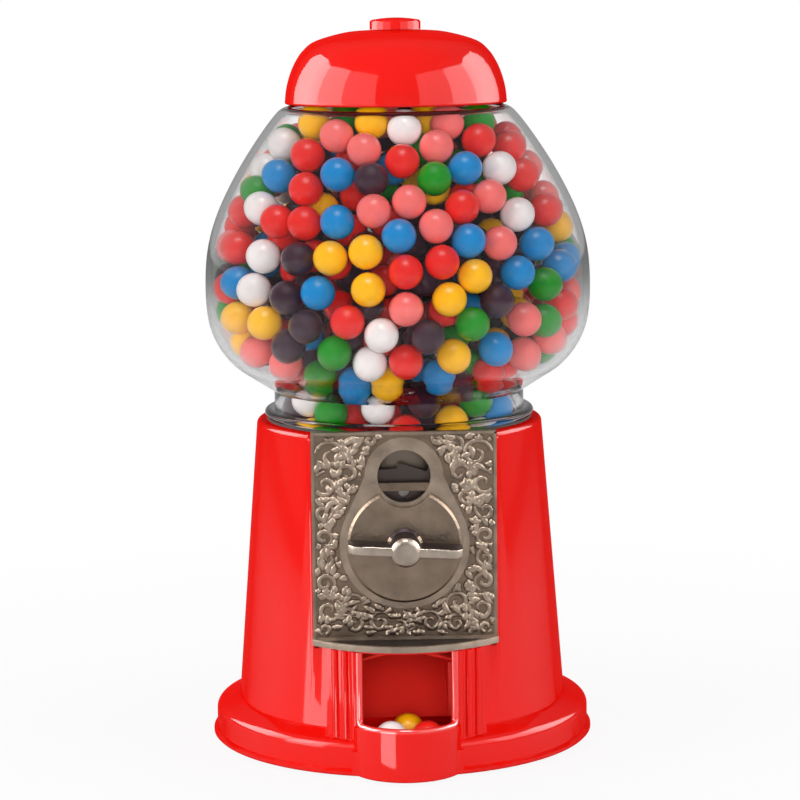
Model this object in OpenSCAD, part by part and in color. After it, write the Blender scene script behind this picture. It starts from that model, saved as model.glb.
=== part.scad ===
// Household gumball machine: a cast body with a coin mechanism in its front, a glass globe and a lift-off lid.
// Millimetres. The table is z = 0, the upright axis is x = y = 0 and the front faces -Y.
// A depth called "front" is a distance in front of the upright axis, so it lies at y = -front.

/* [Body] */
// Height of the cast body's top above the table
body_h = 158; // [157.6:0.2:160]
// Radius of the body's top edge
body_top_r = 70; // [69.4:0.2:71]
// Radius of the body just above the foot
body_foot_r = 79.9; // [79.4:0.1:80.6]
// Radius of the foot's bottom edge
rim_r = 94; // [93:0.5:97]
// Height of the foot's upright wall
rim_h = 13; // [12:0.5:14]
// Wall of the casting
cast_t = 3.2; // [2.8:0.1:3.6]
// Half the width of the flat front that carries the coin plate
front_half_w = 45; // [44.6:0.2:47]
// Depth of that flat front
front_flat = 66; // [65.9:0.1:66.2]
// Half the width of the chute opening
mouth_half_w = 21; // [20.6:0.2:21.2]
// Top of the chute opening
mouth_top = 59.4; // [57.5:0.1:59.4]

/* [Globe] */
// Radius of the glass globe at its widest
globe_r = 93.9; // [92:0.1:97]
// Wall of the glass
glass_t = 3.2; // [2.6:0.1:3.4]
// Radius of the globe's neck
neck_r = 61.2; // [61:0.1:61.6]
// Radius of the bead the globe stands on
bead_r = 66; // [65:0.1:66]
// Outer radius of the globe's filling mouth
globe_mouth_r = 49.5; // [48.5:0.1:49.8]

/* [Lid] */
// Radius of the lid's lower edge
lid_r = 53.8; // [53.6:0.1:55]
// Height of the lid without its knob
lid_h = 35.2; // [34:0.2:38]
// Radius of the knob
knob_r = 12.3; // [11:0.1:14]
// Height of the knob
knob_h = 5.8; // [5:0.1:8]

/* [Coin plate and handle] */
// Half the width of the coin plate
plate_half_w = 43.5; // [43.2:0.1:44.2]
// Thickness of the coin plate
plate_t = 3.7; // [3.5:0.1:4]
// Radius of the coin window
window_r = 12.5; // [12.4:0.1:12.8]
// Radius of the handle's disc
handle_r = 27.2; // [26:0.1:28]
// How far the grip stands out from the disc
grip_depth = 16; // [14:0.5:18]
// Thickness of the grip
grip_t = 4.6; // [4:0.1:6]
// Tilt of the grip at rest
grip_tilt = 3; // [0:0.5:6]

/* [Mechanism] */
// Height of the handle's shaft
shaft_z = 107.2; // [107.1:0.1:107.4]
// Radius of the handle's shaft
shaft_r = 3.5; // [3.3:0.1:3.5]
// Radius of the dispensing wheel
wheel_r = 57; // [56.8:0.1:57.2]
// Radius of the circle the wheel's pockets lie on
pocket_circle = 41; // [40.6:0.1:41.2]
// Radius of each pocket
pocket_r = 9.3; // [9:0.1:9.5]
// Tip radius of the coin carrier's ratchet teeth
carrier_r = 38; // [37.6:0.1:38.2]

/* [Gumballs] */
// Radius of a gumball
ball_r = 8; // [7.9:0.05:8.1]

/* [Fits] */
// Gap round parts that turn on a shaft
run_gap = 0.05; // [0.02:0.01:0.08]
// Gap round parts fixed to a shaft or screwed down
fix_gap = 0.05; // [0.02:0.01:0.08]
// Gap between parts that move past each other
clear = 0.3; // [0.25:0.05:0.35]

/* [Hidden] */
$fn = 96;

// Heights, from the table upward
rim_z = 1;
ledge_z = 4.95;
shoulder_z = 20;
deck_t = 6;
plate_z = 63;
plate_top = body_h + 3;
tray_floor = shaft_z + 7;
tray_t = 2.8;
wheel_z = shaft_z + 10.4;
wheel_t = 13.9;
wheel_top = wheel_z + wheel_t;
globe_z = body_h + 1.1;
mouth_h = 159;
lid_z = globe_z + 152.2;
lid_top = lid_z + lid_h;

// Depths in front of the upright axis
plate_back = front_flat + clear;
plate_front = front_flat + clear + plate_t;
boss_front = plate_front + 0.7;
disc_back = boss_front + clear;
disc_t = 3.2;
disc_front = disc_back + disc_t;
carrier_front = plate_back - 0.4;
carrier_back = carrier_front - 3.1;
backplate_front = carrier_back - 0.4;
backplate_t = 1.4;
backplate_back = backplate_front - backplate_t;

// Gears: a pinion on the shaft drives the crown teeth under the wheel, ten teeth to sixty
pinion_teeth = 10;
crown_teeth = 60;
crown_pitch_r = 54;
pinion_pitch_r = crown_pitch_r * pinion_teeth / crown_teeth;
tooth_up = 0.75;
tooth_down = 1.1;
crown_tip_z = shaft_z + pinion_pitch_r - tooth_up;
pinion_front = 56.4;
pinion_back = 52;

// Walls and bores that follow from the sizes above
tray_in = 58;
tray_out = 60;
tray_rim = 64.5;
coin_centre = 32.7;
housing_r = 59;
housing_centre = 33;
housing_half_w = 37.5;
bump_centre = 76;
bump_r = 28;
bump_top = 24.4;
lip_t = 1.7;
cup_r = bump_r - cast_t;
cup_back = 67;
cup_floor = 10.2;
chute_half_w = mouth_half_w - 0.5;
chute_t = 1.8;

// ---- Helpers ----

// Points of an arc from angle a to angle b
function arc(x, y, r, a, b, n = 8) =
  [for (i = [0 : n]) [x + r * cos(a + (b - a) * i / n), y + r * sin(a + (b - a) * i / n)]];

// A point between p1 and p2 on a smooth curve that also passes p0 and p3
function curve_point(p0, p1, p2, p3, t) =
  0.5 * (2 * p1 + (p2 - p0) * t + (2 * p0 - 5 * p1 + 4 * p2 - p3) * t * t
    + (3 * p1 - p0 - 3 * p2 + p3) * t * t * t);

// A smooth curve through the points p, with n steps between neighbours
function curve(p, n = 4) = concat(
  [for (i = [0 : len(p) - 2], k = [0 : n - 1])
    curve_point(p[max(i - 1, 0)], p[i], p[i + 1], p[min(i + 2, len(p) - 1)], k / n)],
  [p[len(p) - 1]]);

// The line p moved t to its left
function moved_in(p, t) =
  [for (i = [0 : len(p) - 1])
    let (d = p[min(i + 1, len(p) - 1)] - p[max(i - 1, 0)])
    p[i] + t * [-d[1], d[0]] / norm(d)];

function reversed(p) = [for (i = [len(p) - 1 : -1 : 0]) p[i]];

// Radius of the cast body at height z
function body_r(z) =
  body_foot_r - (z - shoulder_z) * (body_foot_r - body_top_r) / (body_h - 2.5 - shoulder_z);

// A cylinder that lies along the depth, from depth a to depth b
module along_front(x, z, r, a, b) {
  translate([x, -a, z]) rotate([90, 0, 0]) cylinder(r = r, h = b - a);
}

// A flat outline in x and z, thick from depth a to depth b
module front_sheet(a, b) {
  translate([0, -a, 0]) rotate([90, 0, 0]) linear_extrude(b - a) children();
}

// A side outline in y and z, wide from -w to w
module side_sheet(w) {
  translate([-w, 0, 0]) rotate([90, 0, 90]) linear_extrude(2 * w) children();
}

// A box centred on x, between two depths and two heights
module front_box(w, a, b, z0, z1) {
  translate([-w, -b, z0]) cube([2 * w, b - a, z1 - z0]);
}

// ---- Cast body ----

body_outline = concat(
  [[0, rim_z], [rim_r - 0.8, rim_z], [rim_r, rim_z + 0.8], [rim_r, rim_z + 2]],
  [[rim_r - 1.8, rim_z + 3.2]],
  arc(rim_r - 6, rim_h, 4.2, 0, 72),
  [[body_foot_r + 3, shoulder_z - 1], [body_foot_r + 0.8, shoulder_z]],
  arc(body_top_r - 2.5, body_h - 2.5, 2.5, 4, 90),
  [[0, body_h]]);

body_hollow = [
  [0, 0], [86.2, 0], [86.2, ledge_z], [83, ledge_z], [83, 13],
  [body_r(24) - cast_t, 18], [body_r(24) - cast_t, 24],
  [body_r(body_h - deck_t) - cast_t, body_h - deck_t],
  [tray_out + 0.4, body_h - deck_t], [tray_out + 0.4, body_h - 2.2],
  [tray_rim + 0.4, body_h - 2.2], [tray_rim + 0.4, body_h + 1], [0, body_h + 1],
];

plate_screw_places = [[-37, 43], [37, 43], [-20, -40], [20, -40]];
bottom_screw_turns = [45, 135, 225, 315];
tray_screw_turns = [30, 150, 270];

// The bowed front that holds the chute opening, fallen back to the body at its sides
module housing(r, w, z0, z1) {
  intersection() {
    translate([0, -housing_centre, z0]) cylinder(r = r, h = z1 - z0);
    front_box(w, 55, 95, z0, z1);
  }
}

// The round foot of the chute opening, which stands out beyond the rim and runs into it softly
module bump() {
  translate([0, -bump_centre, 0]) rotate_extrude()
    polygon([[0, rim_z], [bump_r - 0.8, rim_z], [bump_r, rim_z + 0.8], [bump_r, bump_top], [0, bump_top]]);
  for (s = [-1, 1]) translate([0, 0, rim_z + 0.8]) linear_extrude(rim_h - rim_z - 0.8) difference() {
    polygon([[s * 20, -90], [s * 22.6, -92.6], [s * 27.4, -95.4], [s * 25.8, -88]]);
    translate([s * 27.4, -96.2]) circle(r = 6);
  }
}

module cup_outline(r, w) {
  intersection() {
    union() {
      translate([0, -bump_centre]) circle(r = r);
      translate([-r, -bump_centre]) square([2 * r, bump_centre - cup_back]);
    }
    translate([-w, -bump_centre - r]) square([2 * w, r + bump_centre - cup_back]);
  }
}

module base_casting() {
  color("red") {
    body_casting();
    // Rounded lip along the pocket's front edge and up the sides of the opening
    intersection() {
      translate([0, -bump_centre, bump_top + 0.4]) rotate_extrude()
        translate([bump_r - lip_t, 0]) circle(r = lip_t);
      front_box(mouth_half_w + 2, bump_centre + 12.2, 120, 15, 40);
    }
    for (s = [-1, 1]) translate([s * (mouth_half_w + 1.4), -88, bump_top + 0.4])
      cylinder(r = lip_t, h = 59.9 - bump_top - 0.4);
  }
}

module body_casting() {
  difference() {
    union() {
      difference() {
        union() {
          rotate_extrude() polygon(body_outline);
          front_box(front_half_w, 30, front_flat, shoulder_z, body_h);
          housing(housing_r, housing_half_w, rim_z + 4, 60);
          for (s = [-1, 1], x = [24.6, 29.1, 33.6])
            translate([s * x, -housing_centre - sqrt(housing_r * housing_r - x * x), 18])
              cylinder(r = 1.7, h = 42);
          bump();
        }
        rotate_extrude() polygon(body_hollow);
        housing(housing_r - cast_t, housing_half_w - cast_t, shoulder_z + 1, 60 - cast_t);
      }
      // Front wall that the coin plate is fixed to
      front_box(front_half_w - 2, front_flat - 3.5, front_flat, 57, body_h - deck_t + 1);
      // Pocket where the gumballs come to rest
      translate([0, 0, 7]) linear_extrude(16) cup_outline(cup_r + 2.5, mouth_half_w + 2.5);
      front_box(mouth_half_w + 2.5, 56, cup_back + 1, 7, cup_floor);
      front_box(18, 56, 58.4, 7, 16.6);
      // Screw bosses
      for (a = bottom_screw_turns)
        rotate(a) translate([80, 0, ledge_z]) cylinder(r = 4, h = 11);
      front_sheet(front_flat - 3.5, front_flat) {
        for (p = plate_screw_places) translate([p[0], shaft_z + p[1]]) circle(r = 4);
      }
      for (s = [-1, 1]) {
        front_sheet(front_flat - 3.5, front_flat)
          translate([s * 39.5 - 3.5, shaft_z + 39]) square([7, 9]);
      }
    }
    // Flat in front of the coin plate
    front_box(front_half_w + 1, front_flat, 120, 60, body_h + 1);
    // Window for the mechanism
    difference() {
      front_box(41.5, 45, front_flat + 1, 64, body_h - 4.5);
      for (p = plate_screw_places)
        along_front(p[0], shaft_z + p[1], 4, front_flat - 3.5, front_flat + 1);
    }
    // Chute opening and the pocket behind it
    front_box(mouth_half_w, 70, 88, 22, mouth_top);
    front_box(mouth_half_w, 70, 120, bump_top, mouth_top);
    translate([0, 0, cup_floor]) linear_extrude(30) cup_outline(cup_r, mouth_half_w);
    // Screw holes
    for (a = bottom_screw_turns)
      rotate(a) translate([80, 0, ledge_z - 1]) cylinder(r = 1.5 + fix_gap, h = 9);
    for (p = plate_screw_places)
      along_front(p[0], shaft_z + p[1], 1.5 + fix_gap, front_flat - 5, front_flat + 1);
    for (a = tray_screw_turns)
      rotate(a) translate([62.3, 0, body_h - 7]) cylinder(r = 1.1 + fix_gap, h = 6);
  }
}

module foot_ring() {
  color("black") rotate_extrude() translate([66, 0]) square([8, 3.3]);
}

// ---- Bottom plate and bank door ----

door_y = 34;
door_r = 22;

module bottom_plate() {
  color("silver") difference() {
    translate([0, 0, 3.3]) cylinder(r = 85.8, h = ledge_z - 3.35);
    translate([0, door_y, 3]) cylinder(r = door_r + clear, h = 3);
    for (a = [-1, 1])
      translate([0, door_y, 3]) rotate(a * 90) translate([0, -4.5, 0]) cube([door_r + 4.4, 9, 3]);
    for (a = bottom_screw_turns)
      rotate(a) translate([80, 0, 3]) cylinder(r = 1.5 + fix_gap, h = 3);
  }
}

module bottom_screws() {
  color("silver") for (a = bottom_screw_turns) rotate(a) translate([80, 0, 0]) {
    translate([0, 0, 1.7]) cylinder(r = 3, h = 1.58);
    translate([0, 0, 1.7]) cylinder(r = 1.5, h = 11);
  }
}

module bank_door() {
  color("black") translate([0, door_y, 0]) difference() {
    union() {
      translate([0, 0, 1.4]) cylinder(r = door_r + 5, h = 1.6);
      translate([0, 0, 1.4]) cylinder(r = door_r, h = 4.6);
      translate([-door_r - 4, -4, 5.25]) cube([2 * door_r + 8, 8, 1.6]);
    }
    translate([-13, -1.2, 1]) cube([26, 2.4, 1.6]);
  }
}

// ---- Chute ----

chute_back = 51;
chute_front = -58.5;
drop_front = 31;
floor_hi = 68;
floor_lo = 18.7;
roof_hi = 84;
roof_front = -57;
roof_lo = 47.3;

module chute() {
  color("firebrick") difference() {
    side_sheet(chute_half_w + chute_t) polygon([
      [chute_back + chute_t, floor_hi - 1.2], [chute_back + chute_t, tray_floor - tray_t - 0.1],
      [drop_front - chute_t, tray_floor - tray_t - 0.1], [drop_front - chute_t, roof_hi - 0.8],
      [roof_front, roof_lo], [chute_front, roof_lo], [chute_front, floor_lo - 2]]);
    side_sheet(chute_half_w) polygon([
      [chute_back, floor_hi], [chute_back, tray_floor + 1], [drop_front, tray_floor + 1],
      [drop_front, roof_hi + 6], [drop_front - chute_t - 2, roof_hi + 6],
      [drop_front - chute_t - 2, roof_hi + 1], [roof_front, roof_lo + 1],
      [chute_front - 1, roof_lo + 1], [chute_front - 1, floor_lo - 0.45]]);
  }
}

roof_angle = atan((roof_hi - roof_lo) / (drop_front - roof_front));

module chute_cover() {
  color("firebrick")
    translate([0, roof_front, roof_lo + 0.15]) rotate([roof_angle, 0, 0]) rotate([90, 0, 180])
      linear_extrude((drop_front - 2.6 - roof_front) / cos(roof_angle))
        polygon([
          [-chute_half_w - chute_t - 1, 0], [0, 7], [chute_half_w + chute_t + 1, 0],
          [chute_half_w + chute_t + 1, 1.4], [0, 8.6], [-chute_half_w - chute_t - 1, 1.4]]);
}

// ---- Hopper tray and dispensing wheel ----

guard_screw_turns = [76, 104];

module hopper_tray() {
  color("silver") difference() {
    rotate_extrude() polygon([
      [4 + fix_gap, tray_floor - tray_t], [tray_out, tray_floor - tray_t],
      [tray_out, body_h - 2.1], [tray_rim, body_h - 2.1], [tray_rim, body_h],
      [tray_in, body_h], [tray_in, tray_floor], [4 + fix_gap, tray_floor]]);
    translate([0, pocket_circle, tray_floor - 5]) cylinder(r = pocket_r + 0.5, h = 10);
    front_box(11.6, 46.4, 62, tray_floor - 5, shaft_z + 11.5);
    for (a = guard_screw_turns)
      rotate(a) translate([50, 0, wheel_top + 9.5]) rotate([0, 90, 0])
        cylinder(r = 1.3 + fix_gap, h = 12);
    for (a = tray_screw_turns) rotate(a) translate([62.3, 0, 0]) {
      translate([0, 0, body_h - 5]) cylinder(r = 1.1 + fix_gap, h = 6);
      translate([0, 0, body_h - 1.25]) cylinder(r = 1.9 + fix_gap, h = 2);
    }
  }
}

module tray_screws() {
  color("silver") for (a = tray_screw_turns) rotate(a) translate([62.3, 0, 0]) {
    translate([0, 0, body_h - 5.8]) cylinder(r = 1.1, h = 5);
    translate([0, 0, body_h - 1.2]) cylinder(r = 1.9, h = 1);
  }
}

module dispensing_wheel() {
  color("white") {
    difference() {
      union() {
        translate([0, 0, wheel_z]) cylinder(r = wheel_r, h = wheel_t);
        translate([0, 0, tray_floor + clear]) cylinder(r = 12, h = wheel_z - tray_floor);
        for (i = [0 : crown_teeth - 1]) rotate(i * 360 / crown_teeth) crown_tooth();
      }
      for (i = [0 : 5])
        rotate(90 + i * 60) translate([pocket_circle, 0, tray_floor])
          cylinder(r = pocket_r, h = wheel_t + 10);
      translate([0, 0, tray_floor]) cylinder(r = 4 + run_gap, h = wheel_t + 10);
    }
  }
}

// One downward tooth, at the wheel's +x side
module crown_tooth() {
  translate([52.3, 0, 0]) rotate([90, 0, 90]) linear_extrude(4)
    polygon([[-1.75, wheel_z + 0.2], [1.75, wheel_z + 0.2], [0.85, crown_tip_z], [-0.85, crown_tip_z]]);
}

module wheel_spindle() {
  color("silver") {
    translate([0, 0, tray_floor - tray_t - 3.05]) cylinder(r = 6, h = 3);
    translate([0, 0, tray_floor - tray_t - 3.05]) cylinder(r = 4, h = wheel_top + 5 - tray_floor + 6);
  }
}

module wheel_washer() {
  color("silver") difference() {
    translate([0, 0, wheel_top + clear]) cylinder(r = 9, h = 1);
    translate([0, 0, wheel_top]) cylinder(r = 4 + fix_gap, h = 2);
  }
}

module wheel_nut() {
  color("silver") difference() {
    union() {
      translate([0, 0, wheel_top + clear + 1.05]) cylinder(r = 6.4, h = 5, $fn = 6);
      translate([0, 0, wheel_top + clear + 6]) cylinder(r1 = 5.4, r2 = 2.6, h = 3);
    }
    translate([0, 0, wheel_top]) cylinder(r = 4 + fix_gap, h = 8.2);
  }
}

module ball_guard() {
  color("silver") difference() {
    union() {
      rotate([0, 0, 62]) rotate_extrude(angle = 56)
        translate([27, wheel_top + 0.8]) square([tray_in - 27 - 0.1, 1.3]);
      rotate([0, 0, 62]) rotate_extrude(angle = 56)
        translate([tray_in - 1.3, wheel_top + 0.8]) square([1.2, 14]);
    }
    for (a = guard_screw_turns)
      rotate(a) translate([50, 0, wheel_top + 9.5]) rotate([0, 90, 0])
        cylinder(r = 1.3 + fix_gap, h = 12);
  }
}

module guard_screws() {
  color("silver") for (a = guard_screw_turns)
    rotate(a) translate([tray_in - 3.35, 0, wheel_top + 9.5]) rotate([0, 90, 0]) {
      cylinder(r = 2.6, h = 1.6);
      cylinder(r = 1.3, h = 5);
    }
}

// ---- Glass globe ----

neck_line = [[neck_r, 0.1], [neck_r, 12.2]];
bowl_line = curve([
  [neck_r, 13], [0.752 * globe_r, 19], [0.859 * globe_r, 26], [0.939 * globe_r, 35.5],
  [0.986 * globe_r, 47], [globe_r, 63], [0.986 * globe_r, 82], [0.931 * globe_r, 99.8],
  [0.83 * globe_r, 119], [0.711 * globe_r, 136.5], [0.612 * globe_r, 148.4],
  [globe_mouth_r + 2.6, 151.4], [globe_mouth_r, 153.2]]);
glass_line = concat(neck_line, bowl_line, [[globe_mouth_r, mouth_h]]);

module globe_gasket() {
  color("black") translate([0, 0, body_h + 0.05]) rotate_extrude()
    translate([tray_in + 1, 0]) square([6, 1.1]);
}

module globe() {
  color("lightblue") translate([0, 0, globe_z]) rotate_extrude() {
    polygon(concat(glass_line, reversed(moved_in(glass_line, glass_t))));
    translate([neck_r - 1, 0.1]) square([bead_r - 1.9 - neck_r + 1, 3.8]);
    translate([bead_r - 1.9, 2]) circle(r = 1.9);
  }
}

// ---- Coin plate ----

module plate_face() {
  translate([-plate_half_w, plate_z]) square([2 * plate_half_w, plate_top - plate_z]);
}

// The smooth raised field round the window and the handle
module keyhole_field() {
  translate([0, shaft_z]) circle(r = handle_r + 3.4);
  translate([0, shaft_z + coin_centre]) circle(r = window_r + 6);
  translate([0, shaft_z]) polygon([
    [-18.4, coin_centre], [18.4, coin_centre], [28.5, 11.5], [-28.5, 11.5]]);
}

// A scroll of n quarter turns, each smaller than the last, as a rounded rib
module scroll(r, n) {
  rotate_extrude(angle = 90) intersection() {
    translate([r, 0]) circle(r = 0.75 + 0.03 * r);
    translate([r - 3, -0.4]) square([6, 3]);
  }
  if (n > 1) translate([0, 0.3 * r, 0]) rotate(90) scroll(0.7 * r, n - 1);
}

scrolls = [
  [-33, 143, 7.5, 200], [-27, 152, 4.5, 20], [-37, 128, 5, 90],
  [-38, 112, 4.6, 0], [-37, 98, 5, 140], [-36, 84, 6.5, 180],
  [-25, 72, 7, 250], [-9, 70.5, 4.6, 330], [-31, 134, 3.6, 310],
];

module scrollwork() {
  for (s = scrolls, m = [0, 1]) mirror([m, 0, 0])
    translate([s[0], -plate_front, s[1]]) rotate([90, 0, 0]) rotate(s[3]) scroll(s[2], 4);
}

// Outline of the hood from above, less t all round, from depth a forward
module hood_outline(t, a) {
  intersection() {
    translate([0, -housing_centre]) circle(r = housing_r + 0.8 - t);
    union() {
      translate([-36, -95]) square([72, 95 - a]);
      translate([t - 44, -72.5]) square([88 - 2 * t, 72.5 - a]);
      for (s = [-1, 1]) intersection() {
        translate([s * 36, -72.5]) circle(r = 8 - t);
        translate([-50, -95]) square([100, 95 - a]);
      }
    }
  }
}

post_places = [[-38.2, 15], [38.2, 15], [-38.2, -15], [38.2, -15]];

module coin_plate() {
  color("darkgray") difference() {
    union() {
      front_sheet(plate_back, plate_front) plate_face();
      front_sheet(plate_back, boss_front) keyhole_field();
      // Raised edges
      for (s = [-1, 1]) front_sheet(plate_back, plate_front + 0.5)
        translate([s * (plate_half_w - 0.7) - 0.7, plate_z]) square([1.4, plate_top - plate_z]);
      front_sheet(plate_back, plate_front + 0.5)
        translate([-plate_half_w, plate_top - 1.4]) square([2 * plate_half_w, 1.4]);
      // Hood over the chute opening
      translate([0, 0, 60.2]) linear_extrude(2.9) hood_outline(0, plate_back);
      // Posts for the backplate
      for (p = post_places)
        along_front(p[0], shaft_z + p[1], 2.2, backplate_front, plate_back + 0.5);
      scrollwork();
    }
    difference() {
      along_front(0, shaft_z + coin_centre, window_r, plate_back - 1, plate_front + 5);
      front_box(window_r + 1, plate_back, plate_back + 2,
        shaft_z + coin_centre - 7.4, shaft_z + coin_centre - 3.6);
    }
    along_front(0, shaft_z, shaft_r + run_gap, plate_back - 1, plate_front + 5);
    // Shallow tray in the hood's top
    translate([0, 0, 61.6]) linear_extrude(2) hood_outline(2.1, plate_front + 0.6);
    for (p = plate_screw_places)
      along_front(p[0], shaft_z + p[1], 1.5 + fix_gap, plate_back - 1, plate_back + 2.6);
    for (p = post_places)
      along_front(p[0], shaft_z + p[1], 0.9 + fix_gap, backplate_front - 1, backplate_front + 4);
  }
}

module plate_screws() {
  color("silver") for (p = plate_screw_places) {
    along_front(p[0], shaft_z + p[1], 3, front_flat - 5.3, front_flat - 3.55);
    along_front(p[0], shaft_z + p[1], 1.5, front_flat - 5.3, plate_back + 2.2);
  }
}

module mechanism_backplate() {
  color("silver") front_sheet(backplate_back, backplate_front - 0.05) difference() {
    translate([-41, shaft_z - 37.2]) square([82, 65.5]);
    translate([0, shaft_z]) circle(r = shaft_r + run_gap);
    for (p = post_places) translate([p[0], shaft_z + p[1]]) circle(r = 0.9 + fix_gap);
    for (s = [-1, 1]) translate([s * 20 - 5.2, shaft_z - 46]) square([10.4, 12]);
    translate([-pawl_x, shaft_z + pawl_dz]) circle(r = 1.5 + fix_gap);
  }
}

module mechanism_screws() {
  color("silver") for (p = post_places) {
    along_front(p[0], shaft_z + p[1], 1.9, backplate_back - 1.25, backplate_back - 0.05);
    along_front(p[0], shaft_z + p[1], 0.9, backplate_back - 1.25, backplate_front + 3);
  }
}

// ---- Handle, shaft and coin carrier ----

module handle() {
  color("silver") difference() {
    translate([0, 0, shaft_z]) rotate([0, grip_tilt, 0]) handle_casting();
    // Bite that leaves the coin window free while the handle is upright
    along_front(0, shaft_z + coin_centre, window_r + 2, disc_back - 1, disc_front + 1);
  }
}

// The casting about its own shaft, its grip level
module handle_casting() {
  difference() {
    union() {
      rotate([90, 0, 0]) rotate_extrude() polygon([
        [0, disc_back], [handle_r - 0.4, disc_back], [handle_r, disc_back + 0.5],
        [handle_r, disc_front - 1.1], [handle_r - 1.2, disc_front], [0, disc_front]]);
      // Grip across the disc
      translate([0, 0, -grip_t / 2]) linear_extrude(grip_t) polygon([
        [-handle_r + 0.3, -disc_front + 0.5], [-handle_r + 0.3, -disc_front - grip_depth + 5],
        [-handle_r + 2.6, -disc_front - grip_depth + 1.3], [-handle_r + 7, -disc_front - grip_depth],
        [handle_r - 7, -disc_front - grip_depth], [handle_r - 2.6, -disc_front - grip_depth + 1.3],
        [handle_r - 0.3, -disc_front - grip_depth + 5], [handle_r - 0.3, -disc_front + 0.5]]);
      // Hub with a domed end
      rotate([90, 0, 0]) rotate_extrude() polygon(concat(
        [[0, disc_front - 0.5], [8.6, disc_front - 0.5], [8.6, disc_front + 1], [7.3, disc_front + 2]],
        arc(3.8, disc_front + grip_depth - 2.2, 3.5, 0, 90),
        [[0, disc_front + grip_depth + 1.4]]));
    }
    along_front(0, 0, shaft_r + fix_gap, disc_back - 1, disc_front + 6);
  }
}

module handle_shaft() {
  color("silver") along_front(0, shaft_z, shaft_r, 47.6, disc_front + 5.8);
}

carrier_teeth = 16;
tooth_depth = 2.6;

module coin_carrier() {
  color("silver") difference() {
    front_sheet(carrier_back, carrier_front) translate([0, shaft_z]) polygon([
      for (i = [0 : carrier_teeth - 1], k = [0 : 3])
        let (
          a = 207 + i * 360 / carrier_teeth,
          turn = k == 0 ? -0.5 : k == 1 ? 0.4 : k == 2 ? 8 : 19,
          r = k == 0 ? carrier_r : k == 1 ? carrier_r - tooth_depth
            : k == 2 ? carrier_r - 2.2 : carrier_r - 0.4)
        [r * cos(a + turn), r * sin(a + turn)]]);
    // Pocket for the coin, open at the rim
    along_front(0, shaft_z + coin_centre, window_r + 0.1, carrier_back + 1.1, carrier_front + 1);
    front_box(window_r + 0.1, carrier_back + 1.1, carrier_front + 1,
      shaft_z + coin_centre, shaft_z + carrier_r + 2);
    // Feeler hole behind the coin
    along_front(0, shaft_z + coin_centre - 9, 2.4, carrier_back - 1, carrier_front);
    along_front(0, shaft_z, shaft_r + fix_gap, carrier_back - 1, carrier_front + 1);
  }
}

module drive_pinion() {
  color("silver") difference() {
    union() {
      front_sheet(pinion_back, pinion_front) translate([0, shaft_z]) {
        circle(r = pinion_pitch_r - tooth_down);
        for (i = [0 : pinion_teeth - 1]) rotate(90 + (i + 0.5) * 360 / pinion_teeth)
          polygon([
            [pinion_pitch_r - 2, -1.5], [pinion_pitch_r - 2, 1.5], [pinion_pitch_r - 0.6, 1.35],
            [pinion_pitch_r, 1.1], [pinion_pitch_r + tooth_up, 0.6],
            [pinion_pitch_r + tooth_up, -0.6], [pinion_pitch_r, -1.1], [pinion_pitch_r - 0.6, -1.35]]);
      }
      along_front(0, shaft_z, 6, pinion_front - 0.5, backplate_back - 0.4);
    }
    along_front(0, shaft_z, shaft_r + fix_gap, pinion_back - 1, backplate_back + 1);
  }
}

module pinion_nut() {
  color("silver") difference() {
    translate([0, -48.4, shaft_z]) rotate([90, 0, 0]) cylinder(r = 5.3, h = 3.5, $fn = 6);
    along_front(0, shaft_z, shaft_r + fix_gap, 47, 53);
  }
}

// ---- Pawl ----

pawl_x = 34;
pawl_dz = -34.5;
pawl_back = carrier_back + 1.1;
pawl_front = carrier_front - 0.3;

module pawl() {
  color("silver") difference() {
    front_sheet(pawl_back, pawl_front) translate([-pawl_x, shaft_z + pawl_dz]) {
      circle(r = 3.2);
      polygon([[-2.6, 0], [2.4, 0], [1.5, 12.6], [1.1, 14.9], [0, 14.9], [-1.8, 12.4]]);
    }
    along_front(-pawl_x, shaft_z + pawl_dz, 1.5 + run_gap, pawl_back - 1, pawl_front + 1);
  }
}

module pawl_pivot() {
  color("silver") {
    along_front(-pawl_x, shaft_z + pawl_dz, 1.5, backplate_back - 1, pawl_front + 0.25);
    along_front(-pawl_x, shaft_z + pawl_dz, 2.8, backplate_back - 1, backplate_back - 0.05);
  }
}

module pawl_spring() {
  color("silver") translate([-pawl_x, 0, shaft_z + pawl_dz]) {
    for (k = [0, 1]) translate([0, -backplate_front - 0.38 - 0.7 * k, 0]) rotate([90, 0, 0])
      rotate_extrude() translate([2.3, 0]) circle(r = 0.34);
    translate([-2.35, -backplate_front - 0.38, 0.1]) cylinder(r = 0.26, h = 9);
    translate([2.35, -backplate_front - 1.08, -7]) cylinder(r = 0.26, h = 6.9);
  }
}

// ---- Lid ----

lid_line = curve([
  [lid_r, 0.9], [lid_r - 0.5, 6], [lid_r - 1.6, 11], [lid_r - 3.1, 15.5], [lid_r - 5.2, 20],
  [lid_r - 8.6, 0.71 * lid_h], [lid_r - 14.8, 0.85 * lid_h], [lid_r - 29, 0.965 * lid_h],
  [knob_r, lid_h - 0.1], [2.6, lid_h]]);

module lid_shell() {
  color("red") translate([0, 0, lid_z]) rotate_extrude() {
    polygon(concat(lid_line, reversed(moved_in(lid_line, 1.6))));
    translate([lid_r - 0.9, 0.9]) circle(r = 1);
    // Ledge that rests on the globe's mouth
    translate([globe_mouth_r - 4.5, mouth_h - 152.2 + 0.1]) square([lid_r - 1.4 - globe_mouth_r + 4.5, 1.5]);
  }
}

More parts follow.
